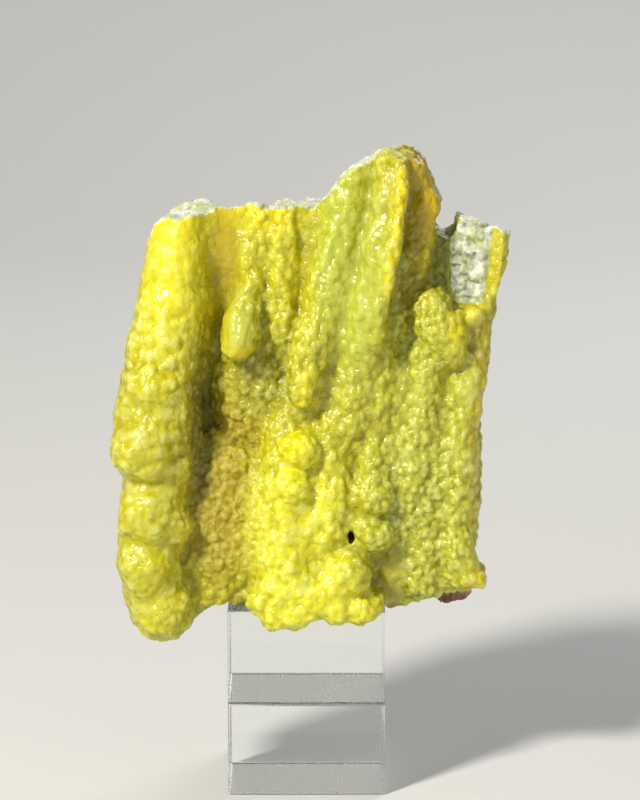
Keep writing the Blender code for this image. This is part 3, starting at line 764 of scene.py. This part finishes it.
# %% Colour zones
SKIN_COLOUR = "#c6c21e"
ZONES = [
    ((-25, 66), (12, 34), "#e8e00c", 0.95),
    ((-30, 16), (12, 48), "#cec816", 0.85),
    # painted shade: golden in the hollow beside the left column
    ((-15.4, 68), (4.4, 18), "#c6b000", 0.95),
    ((-5, 66), (9, 22), "#d8d214", 0.7),
    # painted glow: bright yellow along the thin top edge
    ((-7, 79), (13, 9), "#f4e400", 0.8),
    ((-11.6, 56), (4.2, 8), "#c6cc50", 0.85),
    # painted glow: bright rim at the foot of the drip
    ((-12.0, 50.6), (3.4, 2.0), "#f0dc00", 0.9),
    # painted shade: olive under the drip
    ((-8.5, 44), (8, 10), "#8e8c14", 0.6),
    ((-16, 24), (11, 28), "#b09a04", 0.95),
    # painted shadow in the recess right of the left column, over the stone's own brown
    ((-20, 37), (3.0, 20), "#4e3600", 0.95),
    ((-2, 16), (13, 28), "#ece824", 0.95),
    ((3, 1), (17, 9), "#ece824", 0.9),
    # painted glow: the round knob and the end of the drip beside it
    ((-1.4, 31.5), (5, 6), "#f6ec00", 1.0),
    ((0.5, 43.5), (3.4, 6), "#f0e400", 0.9),
    ((8, 66), (9, 30), "#bcc848", 0.8),
    ((22, 30), (14, 40), "#bec440", 0.7),
    # painted glow: the amber of the shaded peak column, brightened as light through it
    ((21.8, 79), (6.5, 17), "#d4b000", 0.95),
    ((19, 64), (4, 12), "#b4a010", 0.6),
    # painted glow: bright yellow edge along the blade's crest
    ((17.8, 80), (1.3, 7), "#f8e800", 0.95),
    ((17.0, 72), (1.3, 7), "#f8e800", 0.95),
    ((15.4, 65), (1.4, 6), "#f8e800", 0.95),
    # painted shadow of the peak column in the recess beside it, over the stone's dark green
    ((26, 68), (3.0, 11), "#6c7810", 0.9),
    # painted glow: the lower right of the knob and the small nub
    ((28.4, 53.5), (3.2, 7), "#f2e400", 0.9),
    ((31.2, 56.6), (2.6, 2.6), "#f6e800", 0.9),
    # painted shade in the recess under the scar, over the stone's own brown
    ((32.8, 50.5), (3.0, 5), "#8c701a", 0.8),
    ((36, 67), (3.2, 14), "#d6cc10", 0.9),
    # painted glow: the right edge's rim
    ((33, 26), (3.0, 44), "#e8d808", 0.85),
    # painted shade on the gully floor
    ((16.5, 4), (3.5, 11), "#bcb410", 0.7),
]


def tinted(colour, share, hex_colour):
    """The colour of each point, moved by its share towards one more colour."""
    return colour + share[:, None] * (np.array(linear(hex_colour)) - colour)


colour = np.tile(linear(SKIN_COLOUR), (len(points), 1))
for centre, radii, hex_colour, strength in ZONES:
    colour = tinted(colour, strength * blob(points, centre, radii), hex_colour)
print("mean skin colour, linear:", colour.mean(0).round(3))

# %% [markdown]
# ## Valleys and lee sides
#
# How far a point lies behind the skin around it darkens the valleys: painted shade. On the lee
# sides of ridges and drips, light that went in on the left comes out again and is a saturated
# yellow there, painted here as a glow. The shader scatters light too, but not as far as the real
# stone does, so the tint helps it along.

# %% Paint shade into the valleys and glow onto the lee sides
VALLEY_SHADE_COLOUR = "#948a00"
VALLEY_DEPTH = 7.0
VALLEY_SHADE_SHARE = 0.55
LEE_GLOW_COLOUR = "#f0da00"
LEE_GLOW_SHARE = 0.6
LIGHT_LEAVES = (0.9, 0.0, -0.35)
FALL_OFF = 1.5
SOFTEN_ROUNDS = 6
CELL = 1.0
CELLS_NEAR = 3


def sunk_depth(points):
    """How far each point lies behind the frontmost skin within about 3 mm of it, in mm."""
    flat = points[:, [0, 2]]
    cells = np.floor((flat - flat.min(0)) / CELL).astype(int) + CELLS_NEAR
    front = np.full(cells.max(0) + CELLS_NEAR + 1, np.inf)
    np.minimum.at(front, (cells[:, 0], cells[:, 1]), points[:, 1])
    steps = range(-CELLS_NEAR, CELLS_NEAR + 1)
    disc = [(i, k) for i in steps for k in steps if i * i + k * k <= CELLS_NEAR**2]
    nearest = np.min([np.roll(front, step, (0, 1)) for step in disc], axis=0)
    return points[:, 1] - nearest[cells[:, 0], cells[:, 1]]


def spread(field, rounds):
    """Averages a value over neighbouring points, so that it changes softly."""
    edges = np.empty(2 * len(stone.data.edges), np.int32)
    stone.data.edges.foreach_get("vertices", edges)
    a, b = edges.reshape(-1, 2).T
    count = np.bincount(np.concatenate([a, b]), minlength=len(field)) + 1
    for _ in range(rounds):
        total = field.copy()
        np.add.at(total, a, field[b])
        np.add.at(total, b, field[a])
        field = total / count
    return field


sunk = spread(np.clip(sunk_depth(points) / VALLEY_DEPTH, 0, 1), SOFTEN_ROUNDS)
lee = np.clip(normals @ np.array(LIGHT_LEAVES), 0, 1) ** FALL_OFF * (1 - sunk)
# painted shade: the valleys darkened towards a dark olive yellow
colour = tinted(colour, VALLEY_SHADE_SHARE * sunk**FALL_OFF, VALLEY_SHADE_COLOUR)
# painted glow: the lee sides tinted a saturated yellow
colour = tinted(colour, LEE_GLOW_SHARE * lee, LEE_GLOW_COLOUR)
print("with valleys and lee sides:", colour.mean(0).round(3))

# %% [markdown]
# ## What the shader has to know
#
# The mesh keeps the colour and a few marks at each point, and the shader reads them by name:
# where it is broken or rusty, where a bead has its crown, and where the skin is waxy, matte or
# deep in colour. Point marks need no unwrapping, and the next step carries them along.

# %% Keep the marks on the mesh
RUST_ZONE = [((28.6, -1.4), (6, 3), 1.0)]
RUST_TOP = 1.2
RUST_FRONT = -4.0
BLOOM_ZONE = [((-17, 22), (10, 30), 1.2)]
AMBER_ZONE = [((-15.4, 68), (4.4, 18), 1.0), ((21.8, 79), (6.5, 17), 1.0)]
CROWN_GAIN = 1.3
RELIEF_LOST_IN_WAX = 0.25
RELIEF_LOST_IF_SMOOTH = 0.45


def keep_attribute(name, values):
    kind = "FLOAT_COLOR" if values.ndim == 2 else "FLOAT"
    layer = stone.data.attributes.new(name, kind, "POINT")
    if values.ndim == 2:
        values = np.column_stack([values, np.ones(len(values))])
    values = values.astype(np.float32)
    layer.data.foreach_set("color" if kind == "FLOAT_COLOR" else "value", values.ravel())
    print(f"{name}: {values.mean():.2f} on average")


in_rust = (points[:, 2] < RUST_TOP) & (points[:, 1] > RUST_FRONT)
rust = zone(points, RUST_ZONE) * in_rust
bloom = zone(points, BLOOM_ZONE)
keep_attribute("tint", colour)
keep_attribute("broken", np.maximum(spread(broken, 1), rust))
keep_attribute("crown", np.clip(CROWN_GAIN * (height + RISE_MIDDLE), 0, 1))
keep_attribute("wax", np.maximum(wax_zone, smooth_zone))
lost = RELIEF_LOST_IN_WAX * wax_zone + RELIEF_LOST_IF_SMOOTH * smooth_zone
keep_attribute("relief", 1 - lost)
keep_attribute("rust", rust)
keep_attribute("bloom", bloom)
keep_attribute("deep", np.maximum(zone(points, AMBER_ZONE), bloom))
keep_attribute("back", spread(back, 2))

# %% [markdown]
# ## Fewer triangles
#
# The beads were drawn on a fine, even mesh. Collapsing it takes triangles from the flat back and
# the broad slopes first and leaves the creases sharp, and the point colours are carried along.

# %% Thin the mesh
STONE_TRIANGLES = 196000
thin = stone.modifiers.new("thin", "DECIMATE")
thin.ratio = STONE_TRIANGLES / sum(len(face.vertices) - 2 for face in stone.data.polygons)
bake_modifiers(stone)
print("triangles:", sum(len(face.vertices) - 2 for face in stone.data.polygons))
print("kept:", sorted(layer.name for layer in stone.data.attributes))

# %% [markdown]
# ## Into the frame
#
# The finished stone is lifted onto the stand and scaled to metres. It rides the one body and
# stands in for its CAD node.

# %% Bring the stone into the frame
stone.data.transform(Matrix.Translation((0, 0, stand_top / MM)))
stone.data.transform(Matrix.Scale(MM, 4))
stone.data.polygons.foreach_set("use_smooth", [True] * len(stone.data.polygons))
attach(stone, "root")
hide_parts("smithsonite")
print("stone in the frame, mm:", [round(v / MM, 1) for v in stone.dimensions])

# %% [markdown]
# ## The stone's material
#
# Real smithsonite has a waxy to glassy skin and lets light a few millimetres in. Its index of
# refraction is 1.62 to 1.85. The shader is a rough dielectric with light scattered below the
# surface. The patterns it uses are noises of known sizes, in millimetres, all laid over the
# object's own coordinates, and the marks that were kept on the mesh.

# %% Smithsonite, marks and noises
CLOUD_SIZES = (1.2, 1.6, 2.4, 3.5, 5.0, 9.0)
smithsonite, shader, add = new_material("smithsonite, waxy botryoidal skin")
place = add("TexCoord", out="Object")
tint = add("Attribute", out="Color", attribute_name="tint")
mark = {
    name: add("Attribute", out="Fac", attribute_name=name)
    for name in ("broken", "crown", "wax", "relief", "rust", "back", "bloom", "deep")
}
cloud = {}
for size in CLOUD_SIZES:
    inputs = {"Vector": place, "Scale": PER_MM / size, "Detail": 4.0, "Roughness": 0.55}
    cloud[size] = add("TexNoise", inputs)
print(len(mark), "marks and", len(cloud), "noises")

# %% [markdown]
# ## Colour of the grown skin
#
# Over the tint from the zones lie a milky lime veil in soft patches, painted shade in dark yellow
# in the creases between beads, and pale crowns, a painted highlight where each bead's tip
# scatters the light. The painted highlight stays weaker in the amber hollow and the ochre bloom.
# A map range node takes the value, the two ends it comes from and the two it goes to.

# %% Colour of the grown skin
patches = add("MapRange", (cloud[5.0], 0.45, 0.75, 0.0, 0.35))
veil = add("Math", (patches, add("MapRange", (mark["wax"], 0.0, 1.0, 1.0, 0.3))),
           operation="MULTIPLY")
# painted shade: the creases between beads darkened to dark yellow
crease = add("MapRange", (mark["crown"], 0.0, 0.4, 0.36, 0.0))
# painted highlight: bead crowns paled towards a whitish lime
crowns = add("MapRange", (mark["crown"], 0.45, 0.95, 0.0, 0.42))
crown_highlight = add("Math", (crowns, add("MapRange", (mark["deep"], 0.0, 0.8, 1.0, 0.25))),
                 operation="MULTIPLY")
skin_colour = tint
for amount, over in ((veil, "#ccd858"), (crease, "#a09200"), (crown_highlight, "#e8eea0")):
    inputs = {0: amount, 6: skin_colour, 7: rgba(over)}
    skin_colour = add("Mix", inputs, out=2, data_type="RGBA")
print("nodes so far:", len(smithsonite.node_tree.nodes))

# %% [markdown]
# ## Colour of the broken rock
#
# Inside, the rock is pale and grainy, with grey streaks along the direction of growth and some
# green. The back, where it sat on the host rock, has rusty brown patches, and the lump under the
# right foot is all rust. The line between skin and rock is made ragged by a small noise.

# %% Colour of the broken rock
FIBRE_WIDTH = 2.6
FIBRE_STRETCH = (1.0, 1.0, 0.22)
upright = add("Mapping", {"Vector": place, "Scale": FIBRE_STRETCH})
fibres = add("TexNoise", {"Vector": upright, "Scale": PER_MM / FIBRE_WIDTH, "Detail": 4.0})
stains = add("MapRange", (cloud[9.0], 0.55, 0.68, 0.0, 0.85))
rock_layers = [
    (add("MapRange", (cloud[1.6], 0.45, 0.7)), "#9ca08e"),
    (add("MapRange", (fibres, 0.5, 0.62, 0.0, 0.6)), "#8e9484"),
    (add("MapRange", (cloud[3.5], 0.45, 0.62, 0.0, 0.7)), "#b0bc68"),
    (add("Math", (stains, mark["back"]), operation="MULTIPLY"), "#866238"),
    (mark["rust"], "#7a4a34"),
]
rock_colour = rgba("#e6ead6")
for amount, over in rock_layers:
    inputs = {0: amount, 6: rock_colour, 7: rgba(over)}
    rock_colour = add("Mix", inputs, out=2, data_type="RGBA")
ragged = add("MapRange", (cloud[1.2], 0.3, 0.7, -0.25, 0.25))
is_rock = add("MapRange", (add("Math", (mark["broken"], ragged), operation="ADD"), 0.42, 0.6))
inputs = {0: is_rock, 6: skin_colour, 7: rock_colour}
surface_colour = add("Mix", inputs, out=2, data_type="RGBA")
print("nodes so far:", len(smithsonite.node_tree.nodes))

# %% [markdown]
# ## Gloss and fine beads
#
# The skin's gloss varies from waxy to silky. The bloom and the broken rock are matte. Beads
# smaller than the mesh can carry are a bump of two sizes, and the square of the distance to the
# nearest point gives round tops with sharp creases. A little warp keeps them from looking ruled.

# %% Roughness and fine beads
MATTE_BLOOM = 0.60
MATTE_ROCK = 0.62
WARP_SIZE = 2.0
WARP = 0.8
FINE_BEADS = ((1.4, 0.24), (0.75, 0.06))
gloss = add("MapRange", (cloud[2.4], 0.35, 0.7, 0.27, 0.40))
bloomed = add("Mix", {0: mark["bloom"], 2: gloss, 3: MATTE_BLOOM}, data_type="FLOAT")
roughness = add("Mix", {0: is_rock, 2: bloomed, 3: MATTE_ROCK}, data_type="FLOAT")
inputs = {"Vector": place, "Scale": PER_MM / WARP_SIZE, "Detail": 2.0}
warp = add("TexNoise", inputs, out="Color")
shift = add("VectorMath", (warp, (WARP * MM,) * 3), operation="MULTIPLY")
warped = add("VectorMath", (place, shift))
below = {}
for size, rise in FINE_BEADS:
    cell = add("TexVoronoi", {"Vector": warped, "Scale": PER_MM / size}, out="Distance")
    dome = add("Math", (cell, cell), operation="MULTIPLY")
    inputs = {"Height": dome, "Strength": mark["relief"], "Distance": 2 * rise * MM}
    beaded = add("Bump", {**inputs, **below}, invert=True)
    below = {"Normal": beaded}
print("fine beads in mm:", ", ".join(f"{size} wide, {rise} high" for size, rise in FINE_BEADS))

# %% [markdown]
# ## Light inside the stone
#
# Red and green light travel about two millimetres in the stone and blue less than one, and that
# is what makes thin rims glow yellow. A brighter surface colour alone would not do it, because
# the thick parts would then glow as much.

# %% Put the stone's shader together
LIGHT_TRAVELS = 2.2
plug(shader, {
    "Base Color": surface_colour,
    "Roughness": roughness,
    "Normal": beaded,
    "IOR": 1.62,
    "Subsurface Weight": 0.8,
    "Subsurface Radius": (1.0, 1.0, 0.3),
    "Subsurface Scale": LIGHT_TRAVELS * MM,
})
stone.data.materials.clear()
stone.data.materials.append(smithsonite)
print(smithsonite.name, "with", len(smithsonite.node_tree.nodes), "nodes")

# %% [markdown]
# ## Clear acrylic
#
# Display blocks are cast acrylic, PMMA, sawn and polished, with an index of refraction of 1.49.
# Polished faces are almost perfectly smooth. Handling chips and dulls the edges, the lower face
# gathers dust, and a few scuffs lie on all sides. All of this is only roughness here: how far a
# place lies inside the block's second-nearest face tells the shader where an edge is.

# %% Distance from the block's edges
BLOCK_SIZE = (30.0, 30.0, 18.0)
acrylic, shader, add = new_material("cast acrylic, polished clear")
generated = add("TexCoord", out="Generated")
inside = []
for axis, size in enumerate(BLOCK_SIZE):
    share = add("SeparateXYZ", (generated,), out=axis)
    off_middle = add("Math", (share, 0.5), operation="SUBTRACT")
    distance = add("Math", (off_middle,), operation="ABSOLUTE")
    from_face = add("Math", (0.5, distance), operation="SUBTRACT")
    inside.append(add("Math", (from_face, size), operation="MULTIPLY"))
nearer = add("Math", inside[:2], operation="MINIMUM")
farther = add("Math", inside[:2], operation="MAXIMUM")
either = add("Math", (nearer, inside[2]), operation="MAXIMUM")
from_edge = add("Math", (farther, either), operation="MINIMUM")
print("nodes so far:", len(acrylic.node_tree.nodes))

# %% [markdown]
# ## Wear on the acrylic
#
# Chips, dust and scuffs are the peaks of three fine noises, 0.35 to 0.7 mm in size. Where they
# are, the polished face turns frosted: chips within half a millimetre of an edge, dust on the
# lowest hundredth of the height, scuffs everywhere. A scratch picture would need an image file.

# %% Polished acrylic
SPECKS = {"chips": (0.7, 0.35, 0.6), "dust": (0.35, 0.5, 0.62), "scuffs": (0.5, 0.68, 0.74)}
EDGE_BAND = (0.55, 0.35)
UNDERSIDE_BAND = (0.012, 0.006)
POLISHED = 0.015
FROSTED = 0.4
place = add("TexCoord", out="Object")
speck = {}
for name, (size, low, high) in SPECKS.items():
    inputs = {"Vector": place, "Scale": PER_MM / size, "Detail": 5.0, "Roughness": 0.6}
    speck[name] = add("MapRange", (add("TexNoise", inputs), low, high))
chips = add("MapRange", (speck["chips"], 0.0, 1.0, 0.4, 1.0))
at_edge = add("MapRange", (from_edge, *EDGE_BAND))
worn_edge = add("Math", (at_edge, chips), operation="MULTIPLY")
height_share = add("SeparateXYZ", (generated,), out="Z")
underside = add("MapRange", (height_share, *UNDERSIDE_BAND))
dusty = add("Math", (underside, speck["dust"]), operation="MULTIPLY")
worn = add("Math", (worn_edge, dusty), operation="MAXIMUM")
wear = add("Math", (worn, speck["scuffs"]), operation="MAXIMUM")
plug(shader, {
    "Base Color": rgba("#fbfdfc"),
    "Transmission Weight": 1.0,
    "IOR": 1.49,
    "Roughness": add("MapRange", (wear, 0.0, 1.0, POLISHED, FROSTED)),
})
print(acrylic.name, "with", len(acrylic.node_tree.nodes), "nodes")

# %% [markdown]
# ## The clear blocks
#
# Every edge has a small polished round, which is why edges draw as bright lines. Each block is
# made as large as its CAD node, so the hair of a gap between the two blocks stays. A bevel
# modifier rounds the edges and keeps the faces flat.

# %% The two blocks
EDGE_ROUND = 0.4
EDGE_STEPS = 3


def clear_block(node, material):
    low, high = (Vector(corner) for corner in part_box(node))
    block = bmesh.new()
    bmesh.ops.create_cube(block, size=1.0)
    size, middle = high - low, (high + low) / 2
    stretch = Matrix.Translation(middle) @ Matrix.Diagonal((*size, 1.0))
    bmesh.ops.transform(block, matrix=stretch, verts=block.verts)
    mesh = bpy.data.meshes.new(node + "_polished")
    block.to_mesh(mesh)
    block.free()
    piece = bpy.data.objects.new(node + "_polished", mesh)
    bpy.context.scene.collection.objects.link(piece)
    edges = piece.modifiers.new("polished edges", "BEVEL")
    edges.width = EDGE_ROUND * MM
    edges.segments = EDGE_STEPS
    edges.harden_normals = True
    bake_modifiers(piece)
    piece.data.materials.clear()
    piece.data.materials.append(material)
    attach(piece, "root")
    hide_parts(node)
    return piece


for node in ("upper_clear_block", "lower_clear_block"):
    block = clear_block(node, acrylic)
    print(block.name, [round(v / MM, 2) for v in block.dimensions])

# %% [markdown]
# ## Floor
#
# The floor is a sheet of pale matt paper that lies on the table and is swept up behind, as in a
# photographer's studio, so there is no line where the table ends.

# %% Pale floor
FLOOR = -0.0002
FLOOR_WIDTH = 5.0
FLOOR_FRONT = -2.0
WALL_PLACE = 1.1
WALL_HEIGHT = 1.6
SWEEP_RADIUS = 0.5


def pale_floor(material):
    """A sheet of paper: flat on the table, swept up into a wall behind."""
    turn = np.linspace(0, math.pi / 2, 13)
    sweep = [
        (WALL_PLACE + SWEEP_RADIUS * (math.sin(a) - 1), FLOOR + SWEEP_RADIUS * (1 - math.cos(a)))
        for a in turn
    ]
    profile = [(FLOOR_FRONT, FLOOR), *sweep, (WALL_PLACE, WALL_HEIGHT)]
    sheet = bmesh.new()
    left, right = (
        [sheet.verts.new((x, y, z)) for y, z in profile] for x in (-FLOOR_WIDTH, FLOOR_WIDTH)
    )
    for i in range(len(profile) - 1):
        sheet.faces.new((left[i], right[i], right[i + 1], left[i + 1])).smooth = True
    mesh = bpy.data.meshes.new("studio_floor")
    sheet.to_mesh(mesh)
    sheet.free()
    mesh.materials.append(material)
    floor = bpy.data.objects.new("studio_floor", mesh)
    bpy.context.scene.collection.objects.link(floor)


paper, shader, _ = new_material("matt background paper")
plug(shader, {"Base Color": rgba("#d9d9d6"), "Roughness": 0.9})
pale_floor(paper)
print("floor:", 2 * FLOOR_WIDTH, "m wide")

# %% [markdown]
# ## Light
#
# One large soft key light stands at the upper left, as in the photograph, with a wide fill from
# the right and a light from behind, so that thin rims glow. A dim room light fills the rest.

# %% Lights
AIM = Vector((0.0026, -0.015, 0.0774))
LIGHTS = {
    "key": ((-0.52, -0.62, 0.72), 0.16, 12.0, "#fffaf0"),
    "fill": ((0.8, -0.8, 0.35), 0.9, 1.2, "#ffffff"),
    "behind": ((0.3, 0.6, 0.6), 0.5, 2.5, "#ffffff"),
}
ROOM_LIGHT = 0.26


def soft_light(name, place, size, watts, hex_colour):
    light = bpy.data.lights.new(name, "AREA")
    light.shape = "DISK"
    light.size = size
    light.energy = watts
    light.color = linear(hex_colour)
    lamp = bpy.data.objects.new(name, light)
    lamp.location = place
    lamp.rotation_euler = (Vector(place) - AIM).to_track_quat("Z", "Y").to_euler()
    bpy.context.scene.collection.objects.link(lamp)


for name, setting in LIGHTS.items():
    soft_light(name, *setting)
    print(f"{name} light: {setting[2]} W")
world = bpy.data.worlds.new("soft room")
world.use_nodes = True
plug(world.node_tree.nodes["Background"], (rgba("#e8ebef"), ROOM_LIGHT))
bpy.context.scene.world = world
bpy.context.scene.view_settings.view_transform = "Standard"

# %% [markdown]
# ## Camera
#
# The camera stands 675 mm away and looks down by 12 degrees, as the photograph's seems to. A long
# lens keeps the blocks' sides almost parallel.

# %% Camera
VIEW_DROP_DEGREES = 12.0
CAMERA_DISTANCE = 0.675
SENSOR = 36.0
LENS = 162.0
drop = math.radians(VIEW_DROP_DEGREES)
camera_data = bpy.data.cameras.new("camera")
camera_data.sensor_width = SENSOR
camera_data.lens = LENS
camera = bpy.data.objects.new("camera", camera_data)
camera.location = AIM + CAMERA_DISTANCE * Vector((0.0, -math.cos(drop), math.sin(drop)))
camera.rotation_euler = (camera.location - AIM).to_track_quat("Z", "Y").to_euler()
bpy.context.scene.collection.objects.link(camera)
bpy.context.scene.camera = camera
print("camera at", [round(v, 3) for v in camera.location])
